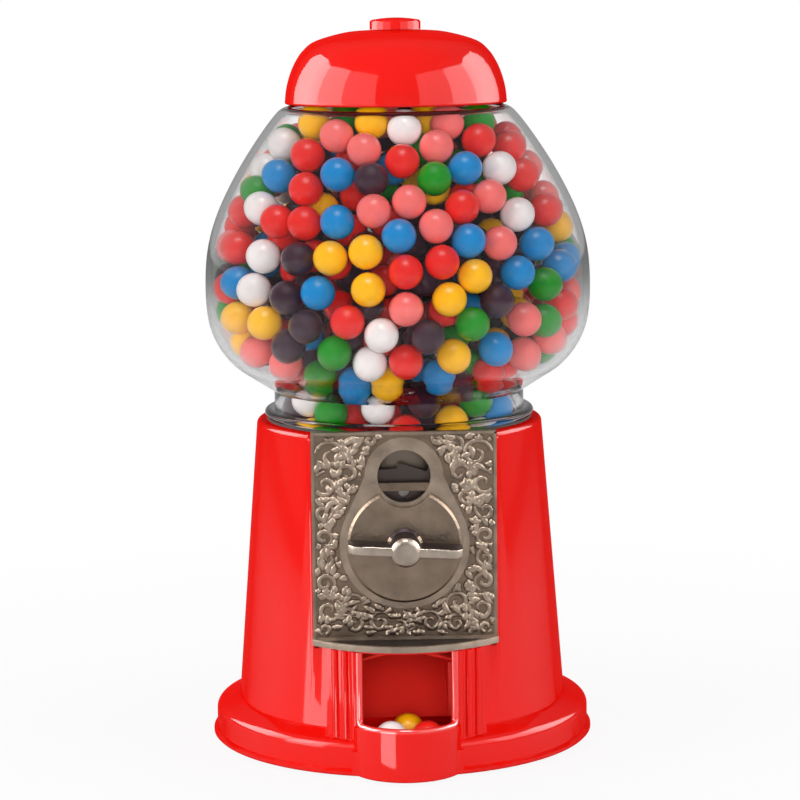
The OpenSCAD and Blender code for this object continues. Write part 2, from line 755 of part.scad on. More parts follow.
module lid_knob() {
  color("red") difference() {
    translate([0, 0, lid_top]) rotate_extrude() polygon(concat(
      [[0, 0.1], [knob_r, 0.1]],
      arc(knob_r - 1.4, knob_h - 2.4, 1.4, 0, 75),
      [[7, knob_h - 0.4], [0, knob_h]]));
    translate([0, 0, lid_top - 1]) cylinder(r = 2.4 + fix_gap, h = 4.4);
  }
}

module lid_screw() {
  color("silver") {
    translate([0, 0, lid_top - 3.9]) cylinder(r = 5, h = 2.2);
    translate([0, 0, lid_top - 3.9]) cylinder(r = 2.4, h = 7);
  }
}

// ---- Gumballs ----

ball_gap = 0.35;
ball_reach = ball_r + ball_gap;
ball_step = 2 * ball_r + 0.2;
ball_bottom = wheel_top + ball_r + 0.3;
ball_top = globe_z + 144;
guard_top = wheel_top + 24.4;

// Where ball centres lie when the balls touch the glass, and the inside of the glass itself
centre_table = [for (p = moved_in(glass_line, glass_t + ball_reach)) [p[1] + globe_z, p[0]]];
inner_line = [for (p = moved_in(glass_line, glass_t)) p + [0, globe_z]];

// How far from the axis a ball at height z touches the tray or the glass
function touch_r(z) = min(concat(
  [z < globe_z + 12 ? tray_in - ball_reach : lookup(z, centre_table)],
  [for (p = inner_line) if (abs(z - p[1]) < ball_reach)
    p[0] - sqrt(ball_reach * ball_reach - (z - p[1]) * (z - p[1]))]));

// Balls that show at the front of the glass, one line for each colour: degrees to the right, height
front_balls = [
  [[44, 294], [88, 294], [-47, 288], [1, 286], [63, 277], [-40, 273], [23, 265], [-84, 260], [69, 260],
    [-49, 258], [-36, 258], [-95, 252], [13, 241], [1, 237], [-18, 214], [1, 195], [45, 184], [2, 158]],
  [[31, 302], [-34, 297], [18, 292], [-17, 291], [87, 280], [36, 269], [3, 268], [90, 265], [-10, 264],
    [12, 257], [35, 248], [-85, 243], [1, 220], [85, 219], [44, 212], [99, 202], [52, 194]],
  [[-17, 303], [-62, 302], [-94, 270], [85, 251], [-12, 246], [-24, 243], [24, 234], [-11, 229],
    [15, 224], [-69, 211], [-51, 211], [18, 197], [-83, 196], [-7, 183], [-81, 180], [28, 161]],
  [[29, 282], [-27, 280], [-60, 278], [-23, 259], [-1, 253], [23, 250], [53, 246], [80, 236], [41, 234],
    [-28, 227], [34, 199], [16, 186], [-24, 181], [66, 165]],
  [[14, 278], [92, 238], [55, 227], [23, 212], [-87, 211], [-24, 199], [75, 192], [-41, 184], [45, 170],
    [-42, 165]],
  [[3, 300], [-77, 292], [48, 281], [-62, 263], [47, 260], [-52, 242], [-56, 226], [-7, 208],
    [-12, 194], [-13, 169]],
  [[-12, 278], [-36, 242], [-90, 227], [-40, 224], [32, 222], [-33, 211], [8, 207], [-42, 201],
    [-93, 189], [30, 179], [12, 172], [-81, 164]],
];

function on_wall(a, z, r) = [r * sin(a), -r * cos(a), z];
front_places = [for (c = [0 : 6], p = front_balls[c]) on_wall(p[0], p[1], touch_r(p[1]))];
front_colours = [for (c = [0 : 6], p = front_balls[c]) c];

// Adds each place in turn, unless a ball already lies in its way
function filled(places, k, chosen) =
  k == len(places) ? chosen
  : filled(places, k + 1,
      len([for (b = chosen) if (norm(b - places[k]) < ball_step) b]) > 0 ? chosen
      : concat(chosen, [places[k]]));

// Places all round the tray and the glass from the wheel up, clear of the guard at the back
function wall_places() = [
  for (z = [ball_bottom : 2 : ball_top]) let (r = touch_r(z))
    for (a = [0 : 3 : 357]) if (z > guard_top || cos(a + 23 * z) > -0.65) on_wall(a + 23 * z, z, r)
];

// The top of the heap, one ball further in
function heap_places(balls) = [
  for (b = balls) if (b[2] > ball_top - 14)
    let (k = 1 - (ball_step + 0.1) / norm([b[0], b[1]])) [k * b[0], k * b[1], b[2]]
];

function with_heap(balls) = filled(heap_places(balls), 0, balls);
function all_balls() = with_heap(filled(wall_places(), 0, front_places));

// Colour of each ball behind the front ones, in an order that doesn't repeat
colour_order = [
  0, 1, 3, 0, 2, 5, 1, 4, 0, 2, 1, 3, 6, 0, 1, 5, 2, 4, 0, 3, 1, 2, 0, 5, 1, 0, 4, 3, 1, 2, 0, 6, 5, 1, 3, 0, 4,
];

function colour_of(i) = i < len(front_colours) ? front_colours[i]
  : colour_order[(11 * i + floor(i / 7)) % len(colour_order)];

module balls_of(colour) {
  balls = all_balls();
  for (i = [0 : len(balls) - 1])
    if (colour_of(i) == colour) translate(balls[i]) sphere(r = ball_r);
}

module gumballs_red() { color("red") balls_of(0); }
module gumballs_pink() { color("pink") balls_of(1); }
module gumballs_yellow() { color("gold") balls_of(2); }
module gumballs_blue() { color("dodgerblue") balls_of(3); }
module gumballs_green() { color("green") balls_of(4); }
module gumballs_white() { color("white") balls_of(5); }
module gumballs_purple() { color("purple") balls_of(6); }

module chute_gumball_white() {
  color("white") translate([-7.6, -87, cup_floor + ball_r + 0.05]) sphere(r = ball_r);
}

module chute_gumball_yellow() {
  color("gold") translate([0.6, -73, cup_floor + ball_r + 0.05]) sphere(r = ball_r);
}

module chute_gumball_red() {
  color("red") translate([9.4, -87.2, cup_floor + ball_r + 0.05]) sphere(r = ball_r);
}

// ---- Parts ----

base_casting();
foot_ring();
bottom_plate();
bottom_screws();
bank_door();
chute();
chute_cover();
hopper_tray();
tray_screws();
globe_gasket();
globe();
dispensing_wheel();
wheel_spindle();
wheel_washer();
wheel_nut();
ball_guard();
guard_screws();
coin_plate();
plate_screws();
mechanism_backplate();
mechanism_screws();
handle();
handle_shaft();
coin_carrier();
drive_pinion();
pinion_nut();
pawl();
pawl_pivot();
pawl_spring();
lid_shell();
lid_knob();
lid_screw();
gumballs_red();
gumballs_pink();
gumballs_yellow();
gumballs_blue();
gumballs_green();
gumballs_white();
gumballs_purple();
chute_gumball_white();
chute_gumball_yellow();
chute_gumball_red();
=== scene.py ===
import math
import random

import bpy
import numpy as np
from mathutils import Matrix, Vector


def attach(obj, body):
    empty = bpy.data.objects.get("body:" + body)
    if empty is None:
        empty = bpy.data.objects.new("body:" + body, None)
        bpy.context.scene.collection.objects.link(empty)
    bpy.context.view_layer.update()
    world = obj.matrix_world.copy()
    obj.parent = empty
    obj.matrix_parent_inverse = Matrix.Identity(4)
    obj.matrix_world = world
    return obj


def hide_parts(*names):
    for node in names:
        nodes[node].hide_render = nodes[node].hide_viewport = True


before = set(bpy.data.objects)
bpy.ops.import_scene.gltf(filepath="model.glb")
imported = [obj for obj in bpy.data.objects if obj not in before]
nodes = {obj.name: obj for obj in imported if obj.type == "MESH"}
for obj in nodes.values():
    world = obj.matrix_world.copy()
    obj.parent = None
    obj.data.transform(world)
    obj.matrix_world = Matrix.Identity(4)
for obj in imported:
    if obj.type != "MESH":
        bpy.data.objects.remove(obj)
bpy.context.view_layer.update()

# ---------------------------------------------------------------------------
# The body casting. It is one zinc die casting, hollow from below, with a round
# foot, a flat front for the coin plate, a bowed and ribbed chute housing and a
# rounded pocket at its foot. It is sprayed with a thick, glossy red enamel.
# ---------------------------------------------------------------------------

# Sizes and places of the pieces are in mm: x to the right, y to the back, z up.
# A half is a width to each side of the middle.
body_top, rim_top = 158, 159
foot_r, foot_gap, foot_ease, shoulder_r = 94, 1, 0.8, 2.5
front_y, front_half, front_low = -66, 45, 22
front_wall_half, front_wall_back, front_wall_low, front_wall_top = 43, -62.5, 57, 153
mechanism_half, mechanism_low, mechanism_top = 41.5, 64, 153.5
housing_y, housing_r, housing_half, housing_back = -33, 59, 37.5, -50
housing_low, housing_top, housing_wall, housing_floor = 5, 60, 3.2, 21
rib_r, rib_low, rib_places = 1.7, 18, (24.6, 29.1, 33.6)
cup_y, cup_r, cup_half, cup_back = -76, 27.3, 23.5, -67
cup_low, cup_top, cup_wall, cup_floor_z = 7, 23, 2.5, 10.2
bump_r, sill_z = 28, 24.4
fillet_low, fillet_top = 1.8, 13
opening_half, opening_low, opening_top, opening_back = 21, 22, 59.4, -70
far_front = -120  # anywhere in front of the machine
lip_r = 1.7


def drop_selection():
    if bpy.context.object and bpy.context.object.mode != "OBJECT":
        bpy.ops.object.mode_set(mode="OBJECT")
    bpy.ops.object.select_all(action="DESELECT")


def pick(obj):
    """Selects this object alone."""
    drop_selection()
    obj.select_set(True)
    bpy.context.view_layer.objects.active = obj
    return obj


def mm(*values):
    return tuple(v * 0.001 for v in values)


def arc(x, y, r, start, end, steps=8):
    """Points on a circle about (x, y), from one angle to another in degrees."""
    angles = [math.radians(start + (end - start) * i / steps) for i in range(steps + 1)]
    return [(x + r * math.cos(a), y + r * math.sin(a)) for a in angles]


def settle(obj, name):
    """Puts the object's place into its mesh and names it."""
    pick(obj)
    bpy.ops.object.transform_apply(location=True, rotation=True, scale=True)
    obj.name = obj.data.name = name
    return obj


def smooth(obj, angle):
    """Shades the piece smooth, but for the edges sharper than this angle."""
    pick(obj)
    bpy.ops.object.shade_smooth_by_angle(angle=math.radians(angle))
    return obj


def turned(name, outline, steps=144, centre=(0, 0)):
    """Turns an outline of (radius, height) points in mm once round an upright axis."""
    drop_selection()
    bpy.ops.mesh.primitive_plane_add(size=0.002)
    obj = bpy.context.object
    bpy.ops.object.mode_set(mode="EDIT")
    bpy.ops.mesh.merge(type="CENTER")
    last = (0, 0)
    for i, (r, z) in enumerate(outline):
        step = mm(r - last[0], 0, z - last[1])
        if i == 0:
            bpy.ops.transform.translate(value=step)
        else:
            bpy.ops.mesh.extrude_vertices_move(TRANSFORM_OT_translate={"value": step})
        last = (r, z)
    bpy.ops.mesh.select_all(action="SELECT")
    bpy.ops.mesh.spin(steps=steps, angle=2 * math.pi, center=(0, 0, 0), axis=(0, 0, 1))
    bpy.ops.mesh.select_all(action="SELECT")
    bpy.ops.mesh.remove_doubles(threshold=1e-6)
    bpy.ops.mesh.normals_make_consistent(inside=False)
    bpy.ops.transform.translate(value=mm(centre[0], centre[1], 0))
    bpy.ops.object.mode_set(mode="OBJECT")
    return settle(obj, name)


def block(name, low, high):
    """A box between two corners in mm."""
    drop_selection()
    bpy.ops.mesh.primitive_cube_add(size=1, location=mm(*[(a + b) / 2 for a, b in zip(low, high)]))
    bpy.context.object.scale = mm(*[b - a for a, b in zip(low, high)])
    return settle(bpy.context.object, name)


def slab(name, outline, low, high):
    """A flat outline of (x, y) points in mm, thick from height low to height high."""
    drop_selection()
    bpy.ops.mesh.primitive_circle_add(vertices=len(outline), radius=0.01, fill_type="NGON")
    obj = bpy.context.object
    for corner, (x, y) in zip(obj.data.vertices, outline):
        corner.co = mm(x, y, low)
    bpy.ops.object.mode_set(mode="EDIT")
    bpy.ops.mesh.select_all(action="SELECT")
    bpy.ops.mesh.extrude_region_move(TRANSFORM_OT_translate={"value": mm(0, 0, high - low)})
    bpy.ops.mesh.select_all(action="SELECT")
    bpy.ops.mesh.normals_make_consistent(inside=False)
    bpy.ops.object.mode_set(mode="OBJECT")
    return settle(obj, name)


def bowed(name, centre_y, r, half_width, back_y, low, high, steps):
    """A block with a round front about centre_y and straight sides back to back_y."""
    side = math.degrees(math.acos(half_width / r))
    bow = arc(0, centre_y, r, -side, side - 180, steps)
    return slab(name, [(half_width, back_y)] + bow + [(-half_width, back_y)], low, high)


def rod(name, r, a, b, sides=64):
    """A round rod of radius r between two points in mm."""
    a, b = Vector(a), Vector(b)
    drop_selection()
    bpy.ops.mesh.primitive_cylinder_add(
        vertices=sides, radius=r * 0.001, depth=(b - a).length * 0.001, location=(a + b) * 0.0005,
        rotation=(b - a).to_track_quat("Z", "Y").to_euler())
    return settle(bpy.context.object, name)


def finish_with(obj, kind, **settings):
    """Adds a modifier and applies it."""
    pick(obj)
    modifier = obj.modifiers.new(kind, kind)
    for key, value in settings.items():
        setattr(modifier, key, value)
    bpy.ops.object.modifier_apply(modifier=modifier.name)
    return obj


def cut(obj, other, how="DIFFERENCE"):
    """Cuts the other solid out of this one, or joins it on, and uses it up."""
    finish_with(obj, "BOOLEAN", operation=how, object=other, solver="EXACT")
    bpy.data.objects.remove(other)
    return obj


def fuse(obj, other):
    return cut(obj, other, "UNION")


def ease_edges(obj, width, angle=30, segments=3):
    """Rounds the edges sharper than this angle a little and shades the rest smooth."""
    finish_with(obj, "BEVEL", width=width * 0.001, segments=segments, limit_method="ANGLE",
                angle_limit=math.radians(angle), miter_outer="MITER_ARC")
    return smooth(obj, 35)


foot_outline = (
    [(0, foot_gap), (foot_r - foot_ease, foot_gap), (foot_r, foot_gap + foot_ease), (foot_r, 3), (92.2, 4.2)]
    + arc(88, 13, 4.2, 0, 72) + [(82.9, 19), (80.7, 20)]
    + arc(67.5, body_top - shoulder_r, shoulder_r, 4, 90, 6) + [(0, body_top)])
hollow_outline = [
    (0, 0), (86.2, 0), (86.2, 4.95), (83, 4.95), (83, 13), (76.4, 18), (76.4, 24),
    (67, 152), (60.4, 152), (60.4, 155.8), (64.9, 155.8), (64.9, rim_top), (0, rim_top)]
bump_outline = [(0, foot_gap), (bump_r - foot_ease, foot_gap), (bump_r, foot_gap + foot_ease),
                (bump_r, sill_z), (0, sill_z)]
fillet_outline = [(20, -90), (22.6, -92.6)] + arc(27.4, -96.2, 6, 143.1, 100.6, 6)[1:] + [(25.8, -88)]

casting = turned("body_casting", foot_outline, 192)
front = block("front", (-front_half, front_y, front_low), (front_half, -30, body_top))
fuse(casting, ease_edges(front, 1.6, 60))
fuse(casting, bowed("housing", housing_y, housing_r, housing_half, housing_back,
                    housing_low, housing_top, 40))
for x in rib_places:
    for side in (-1, 1):
        y = housing_y - math.sqrt(housing_r ** 2 - x ** 2)
        fuse(casting, rod("rib", rib_r, (side * x, y, rib_low), (side * x, y, housing_top - 0.1), 20))
fuse(casting, turned("bump", bump_outline, 128, (0, cup_y)))
for side in (-1, 1):
    fuse(casting, slab("fillet", [(side * x, y) for x, y in fillet_outline], fillet_low, fillet_top))
cut(casting, turned("hollow", hollow_outline, 144))
cut(casting, bowed("housing_hollow", housing_y, housing_r - housing_wall, housing_half - housing_wall,
                   housing_back, housing_floor, housing_top - housing_wall, 40))
fuse(casting, block("front_wall", (-front_wall_half, front_y, front_wall_low),
                    (front_wall_half, front_wall_back, front_wall_top)))
cut(casting, block("plate_seat", (-front_half - 1, far_front, housing_top),
                   (front_half + 1, front_y, rim_top)))
cut(casting, block("mechanism_window", (-mechanism_half, front_y - 1, mechanism_low),
                   (mechanism_half, -45, mechanism_top)))
fuse(casting, bowed("cup", cup_y, cup_r, cup_half, cup_back, cup_low, cup_top, 32))
fuse(casting, block("cup_floor", (-cup_half, cup_back - 1, 7.1), (cup_half, -56, cup_floor_z)))
cut(casting, block("mouth", (-opening_half, -88, opening_low), (opening_half, opening_back, opening_top)))
cut(casting, block("mouth_front", (-opening_half, far_front, sill_z),
                   (opening_half, opening_back, opening_top)))
cut(casting, bowed("cup_hollow", cup_y, cup_r - cup_wall, cup_half - cup_wall, cup_back, cup_floor_z, 40, 32))
ease_edges(casting, 0.5)


def beads(name, lines, r, sides, capped=False):
    """Round beads, in mm, along lines of (x, y, z, share of the radius r) points."""
    curve = bpy.data.curves.new(name, "CURVE")
    curve.dimensions = "3D"
    curve.bevel_depth = r * 0.001
    curve.bevel_resolution = sides
    curve.use_fill_caps = capped
    for line in lines:
        spline = curve.splines.new("POLY")
        spline.points.add(len(line) - 1)
        for point, (x, y, z, share) in zip(spline.points, line):
            point.co = (*mm(x, y, z), 1)
            point.radius = share
    obj = bpy.data.objects.new(name, curve)
    bpy.context.scene.collection.objects.link(obj)
    pick(obj)
    bpy.ops.object.convert(target="MESH")
    bpy.ops.object.shade_smooth()
    return settle(bpy.context.object, name)


# Rounded lip round the pocket's front edge and up both sides of the opening
lip_side = [(22.4, -88, 59.9), (22.4, -88, 40), (22.4, -88, 28.4), (22.38, -88.2, 27.2), (22.3, -88.8, 26.0),
            (21.9, -89.8, 25.2), (21.3, -91.0, 24.85)]
lip_bow = [(x, y, 24.8) for x, y in arc(0, cup_y, 26.3, -38.5, -141.5, 48)]
lip_line = lip_side + lip_bow + [(-x, y, z) for x, y, z in lip_side[::-1]]
lip = beads("lip", [[(x, y, z, 1) for x, y, z in lip_line]], lip_r, 5, capped=True)


def shader(name, colour, **sockets):
    """A material with its Principled shader's own sockets set."""
    mat = bpy.data.materials.new(name)
    mat.use_nodes = True
    principled = mat.node_tree.nodes["Principled BSDF"]
    principled.inputs["Base Color"].default_value = (*colour, 1)
    for key, value in sockets.items():
        principled.inputs[key.replace("_", " ")].default_value = value
    return mat


def node(tree, kind, **settings):
    """Adds a node and sets its sockets and options by name, such as From_Min or operation."""
    made = tree.nodes.new(kind)
    for key, value in settings.items():
        socket = key.replace("_", " ")
        if socket in made.inputs:
            made.inputs[socket].default_value = value
        else:
            setattr(made, key, value)
    return made


def calc(tree, operation, *values):
    """A Math node's output. Each value is a number or another node's output."""
    made = node(tree, "ShaderNodeMath", operation=operation)
    for socket, value in zip(made.inputs, values):
        if isinstance(value, bpy.types.NodeSocket):
            tree.links.new(value, socket)
        else:
            socket.default_value = value
    return made.outputs[0]


def surface_group():
    """Fine marks of handling and casting: a mottled colour, a varied gloss and a height."""
    tree = bpy.data.node_groups.new("worn_surface", "ShaderNodeTree")
    for name, kind, value in (
            ("Colour", "NodeSocketColor", (1, 1, 1, 1)), ("Mottle", "NodeSocketFloat", 0.05),
            ("Roughness", "NodeSocketFloat", 0.2), ("Smudge", "NodeSocketFloat", 0.05),
            ("Scale", "NodeSocketFloat", 60.0)):
        tree.interface.new_socket(name, in_out="INPUT", socket_type=kind).default_value = value
    for name, kind in (("Colour", "NodeSocketColor"), ("Roughness", "NodeSocketFloat"),
                       ("Height", "NodeSocketFloat")):
        tree.interface.new_socket(name, in_out="OUTPUT", socket_type=kind)
    link = tree.links.new
    given = node(tree, "NodeGroupInput").outputs
    result = node(tree, "NodeGroupOutput").inputs
    where = node(tree, "ShaderNodeTexCoord").outputs["Object"]
    patches = node(tree, "ShaderNodeTexNoise", Detail=4)
    grain = node(tree, "ShaderNodeTexNoise", Scale=900)
    tint = node(tree, "ShaderNodeVectorMath", operation="SCALE")
    link(where, patches.inputs["Vector"])
    link(given["Scale"], patches.inputs["Scale"])
    link(where, grain.inputs["Vector"])
    uneven = calc(tree, "SUBTRACT", patches.outputs["Fac"], 0.5)
    link(given["Colour"], tint.inputs[0])
    link(calc(tree, "MULTIPLY_ADD", uneven, given["Mottle"], 1.0), tint.inputs["Scale"])
    link(tint.outputs[0], result["Colour"])
    link(calc(tree, "MULTIPLY_ADD", uneven, given["Smudge"], given["Roughness"]), result["Roughness"])
    link(grain.outputs["Fac"], result["Height"])
    return tree


worn_surface = surface_group()


def worn(name, colour, mottle, roughness, smudge, scale, bump, **sockets):
    """A material whose colour, gloss and fine relief come from the surface group."""
    mat = shader(name, colour, **sockets)
    tree = mat.node_tree
    principled = tree.nodes["Principled BSDF"]
    surface = node(tree, "ShaderNodeGroup", node_tree=worn_surface, name="surface", Colour=(*colour, 1),
                   Mottle=mottle, Roughness=roughness, Smudge=smudge, Scale=scale)
    relief = node(tree, "ShaderNodeBump", name="relief", Strength=bump, Distance=0.0002)
    tree.links.new(surface.outputs["Colour"], principled.inputs["Base Color"])
    tree.links.new(surface.outputs["Roughness"], principled.inputs["Roughness"])
    tree.links.new(surface.outputs["Height"], relief.inputs["Height"])
    tree.links.new(relief.outputs["Normal"], principled.inputs["Normal"])
    return mat


def dress(obj, mat):
    """Gives the piece this material alone."""
    obj.data.materials.clear()
    obj.data.materials.append(mat)


red_enamel = worn("red_enamel", (0.80, 0.006, 0.003), mottle=0.06, roughness=0.10, smudge=0.08, scale=14,
                  bump=0.02, Specular_IOR_Level=0.0, Coat_Roughness=0.07)
# The enamel's clear coat fades towards a glancing angle
tree = red_enamel.node_tree
slant = node(tree, "ShaderNodeLayerWeight", Blend=0.5)
fade = node(tree, "ShaderNodeMapRange", From_Min=0.4, From_Max=0.72, To_Min=0.7, To_Max=0.05)
tree.links.new(slant.outputs["Facing"], fade.inputs["Value"])
tree.links.new(fade.outputs["Result"], tree.nodes["Principled BSDF"].inputs["Coat Weight"])
# The bead's enamel is the body's red made paler and pinker, a painted highlight along its rounded edge, with
# more gloss than the body's
bead_enamel_painted_highlight = worn("bead_enamel_painted_highlight", (0.86, 0.03, 0.025), mottle=0.06, roughness=0.16, smudge=0.08, scale=14,
                   bump=0.02, Specular_IOR_Level=0.7, Coat_Weight=1.0, Coat_Roughness=0.12)
dress(casting, red_enamel)
dress(lip, bead_enamel_painted_highlight)
for piece in (casting, lip):
    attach(piece, "machine")
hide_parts("base_casting")

# ---------------------------------------------------------------------------
# Under the body: a plated steel plate held by four screws, a rubber ring to
# stand on, and a moulded plastic door that turns to let the coins out.
# ---------------------------------------------------------------------------

black_rubber = worn("black_rubber", (0.022, 0.021, 0.020), mottle=0.4, roughness=0.75, smudge=0.2, scale=90,
                    bump=0.6)
zinc_plated = worn("zinc_plated_steel", (0.30, 0.28, 0.25), mottle=0.25, roughness=0.34, smudge=0.25,
                   scale=50, bump=0.15, Metallic=1.0)
black_moulding = worn("black_moulding", (0.03, 0.03, 0.03), mottle=0.2, roughness=0.45, smudge=0.1, scale=60,
                      bump=0.3)
dress(nodes["foot_ring"], black_rubber)
dress(nodes["bank_door"], black_moulding)
for name in ("bottom_plate", "bottom_screws"):
    dress(nodes[name], zinc_plated)

# ---------------------------------------------------------------------------
# The chute inside the body: a red plastic trough that falls from the tray at
# the back to the pocket in front, under a gabled cover that sheds the coins.
# ---------------------------------------------------------------------------

# The chute's red is paler than the body's enamel, so that its inside, in shade behind the mouth, looks lit:
# painted light
red_plastic = worn("red_plastic", (0.9, 0.035, 0.024), mottle=0.15, roughness=0.35, smudge=0.1, scale=40,
                   bump=0.15)
for name in ("chute", "chute_cover"):
    dress(nodes[name], red_plastic)

# ---------------------------------------------------------------------------
# The tray in the body's top with the dispensing wheel, its spindle and the
# guard that keeps loose gumballs off the drop hole. Cast aluminium, nylon and
# plated steel, screwed together.
# ---------------------------------------------------------------------------

cast_aluminium = worn("cast_aluminium", (0.26, 0.21, 0.17), mottle=0.4, roughness=0.42, smudge=0.15, scale=60,
                      bump=0.5, Metallic=1.0)
grey_nylon = worn("grey_nylon", (0.16, 0.145, 0.125), mottle=0.1, roughness=0.45, smudge=0.1, scale=40,
                  bump=0.2)
dress(nodes["hopper_tray"], cast_aluminium)
dress(nodes["dispensing_wheel"], grey_nylon)
dress(nodes["globe_gasket"], black_rubber)
for name in ("tray_screws", "wheel_spindle", "wheel_washer", "wheel_nut", "ball_guard", "guard_screws"):
    dress(nodes[name], zinc_plated)

# ---------------------------------------------------------------------------
# The coin plate: a thick zinc casting with a smooth keyhole field round the
# window and the handle, scrollwork over the rest, and a bowed hood over the
# chute. Its bare metal has dulled, and it is screwed on from inside.
# ---------------------------------------------------------------------------

window_z, window_r, window_field_r = 139.9, 12.5, 18.5
handle_z, handle_field_r, shaft_bore_r = 107.2, 30.6, 3.55
plate_half, plate_low, plate_top, plate_back, plate_face = 43.5, 63, 161, -66.3, -70
field_back, field_face = 67.5, 70.7
border_face, border_back, border_width = -70.5, -67, 1.4
hood_r, hood_half, hood_corner, hood_corner_y = 59.8, 44, 8, -72.5
hood_low, hood_top, hood_wall, hood_tray_z = 60.2, 63.1, 2.1, 61.6
post_r, post_end, post_places = 2.2, -62.5, [(x, z) for x in (-38.2, 38.2) for z in (92.2, 122.2)]
bridge_half, bridge_face, bridge_low, bridge_top = 12.6, -68.3, 132.5, 136.3
bore_back, bore_front = -60, -75


def facing_front(obj):
    """Turns a piece made upward from its (x, y) outline so that it faces the front instead."""
    obj.data.transform(Matrix.Rotation(math.radians(90), 4, "X"))
    return obj


def bore(name, r, z, sides):
    """A round hole to cut right through the plate in its middle."""
    return rod(name, r, (0, bore_back, z), (0, bore_front, z), sides)


def hood_outline(inset, back):
    """The hood seen from above, less an inset all round: a bow between rounded corners."""
    r = hood_r - inset
    corner_x = hood_half - hood_corner
    end = math.degrees(math.acos(corner_x / r))
    side = [(hood_half - inset, back)] + arc(corner_x, hood_corner_y, hood_corner - inset, 0, -90, 8)
    for k, (x, y) in enumerate(side):
        reach = max(1, math.hypot(x, y - housing_y) / r)
        side[k] = (x / reach, housing_y + (y - housing_y) / reach)
    return side + arc(0, housing_y, r, -end, end - 180, 40)[1:-1] + [(-x, y) for x, y in side[::-1]]


keyhole = arc(0, handle_z, handle_field_r, 157.9, 382.1, 72) + arc(0, window_z, window_field_r, 0, 180, 40)
plate = block("coin_plate_casting", (-plate_half, plate_face, plate_low), (plate_half, plate_back, plate_top))
fuse(plate, facing_front(slab("field", keyhole, field_back, field_face)))
for side in (-1, 1):
    middle = side * (plate_half - border_width / 2)
    fuse(plate, block("border", (middle - border_width / 2, border_face, hood_top),
                      (middle + border_width / 2, border_back, plate_top)))
fuse(plate, block("border", (-plate_half, border_face, plate_top - border_width),
                  (plate_half, border_back, plate_top)))
fuse(plate, slab("hood", hood_outline(0, plate_back), hood_low, hood_top))
cut(plate, slab("hood_tray", hood_outline(hood_wall, -70.6), hood_tray_z, 64))
for x, z in post_places:
    fuse(plate, rod("post", post_r, (x, post_end, z), (x, plate_back - 0.5, z), 24))
cut(plate, bore("window", window_r, window_z, 96))
fuse(plate, block("bridge", (-bridge_half, bridge_face, bridge_low), (bridge_half, plate_back, bridge_top)))
cut(plate, bore("bore", shaft_bore_r, handle_z, 48))
ease_edges(plate, 0.3)

# The scrollwork is cast on in rounded ribs that thin towards their tips. Each
# scroll and its leaves stand on both halves of the plate, mirrored.
scroll_r, scroll_flatness, relief_y = 1.3, 0.62, -70.05
points_per_turn, wound_in, leaves_per_scroll, leaf_steps = 18, 0.78, 13, 6
relief_half, relief_low, relief_top = 41.6, 64.3, 159
off_handle_r, off_window_r, waist_low, waist_top, waist_slope = 31.4, 19.4, 118, 141, 0.49
scrolls = (  # x, z, radius, start in degrees, turns, hand
    (-34, 150, 8, 210, 1.3, -1), (-24, 154, 5, 30, 1.2, 1), (-37, 136, 6.5, 90, 1.3, 1),
    (-26, 141, 5.5, 250, 1.2, -1), (-38, 123, 5, 60, 1.2, -1), (-29, 130, 4.5, 160, 1.1, 1),
    (-38, 111, 4.6, 270, 1.2, 1), (-38, 100, 4.6, 80, 1.2, -1), (-37.5, 89, 5, 300, 1.3, 1),
    (-36, 76, 7, 120, 1.4, -1), (-25, 79, 5.5, 350, 1.2, 1), (-24, 69, 5, 180, 1.3, -1),
    (-12, 70, 5.5, 30, 1.3, 1), (-38, 67, 3.2, 200, 1.1, 1), (-16, 157, 3, 100, 1.1, -1),
    (-2.5, 68, 3, 120, 1.1, -1))


def scroll_line(x, z, r, start, turns, hand):
    """A spiral of (x, z, width) points that winds in to a fifth of its radius."""
    points = []
    count = int(points_per_turn * turns)
    for i in range(count + 1):
        t = i / count
        a = math.radians(start) + hand * 2 * math.pi * turns * t
        reach = r * (1 - wound_in * t)
        width = 0.35 + 0.65 * math.sin(math.pi * (0.12 + 0.8 * t))
        points.append((x + reach * math.cos(a), z + reach * math.sin(a), width))
    return points


def leaf_line(x, z, length, angle, curl):
    """A short curled leaf of (x, z, width) points, broad in the middle."""
    points = []
    for i in range(leaf_steps + 1):
        t = i / leaf_steps
        a = math.radians(angle + curl * t)
        width = 0.15 + 1.25 * math.sin(math.pi * t) ** 0.8
        points.append((x + length * t * math.cos(a), z + length * t * math.sin(a), width))
    return points


def on_plate(x, z):
    """Whether the relief may stand here: inside the border and off the smooth field."""
    inside = abs(x) < relief_half and relief_low < z < relief_top
    off_handle = math.hypot(x, z - handle_z) > off_handle_r
    off_window = math.hypot(x, z - window_z) > off_window_r
    on_waist = waist_low < z < waist_top and abs(x) < off_window_r + (window_z - z) * waist_slope
    return inside and off_handle and off_window and not on_waist


rng = random.Random(11)
lines = []
for x, z, r, start, turns, hand in scrolls:
    for side in (1, -1):
        strokes = [scroll_line(x, z, r, start, turns, hand)]
        for _ in range(leaves_per_scroll):
            a = rng.uniform(0, 360)
            reach = r * rng.uniform(0.7, 1.25)
            strokes.append(leaf_line(
                x + reach * math.cos(math.radians(a)), z + reach * math.sin(math.radians(a)),
                length=rng.uniform(3.5, 8), angle=a + rng.uniform(-70, 70), curl=rng.uniform(-50, 50)))
        lines += [[(side * px, pz, width) for px, pz, width in stroke] for stroke in strokes]

# Only the stretches of three or more points that lie on the relief's ground are cast
stretches = []
for line in lines:
    run = []
    for point in line + [None]:
        if point and on_plate(point[0], point[1]):
            run.append((point[0], relief_y, point[1], point[2]))
            continue
        if len(run) > 2:
            stretches.append(run)
        run = []
scrollwork = beads("scrollwork", stretches, scroll_r, 2)
ground_y = relief_y * 0.001
for point in scrollwork.data.vertices:
    point.co.y = ground_y + scroll_flatness * (point.co.y - ground_y)


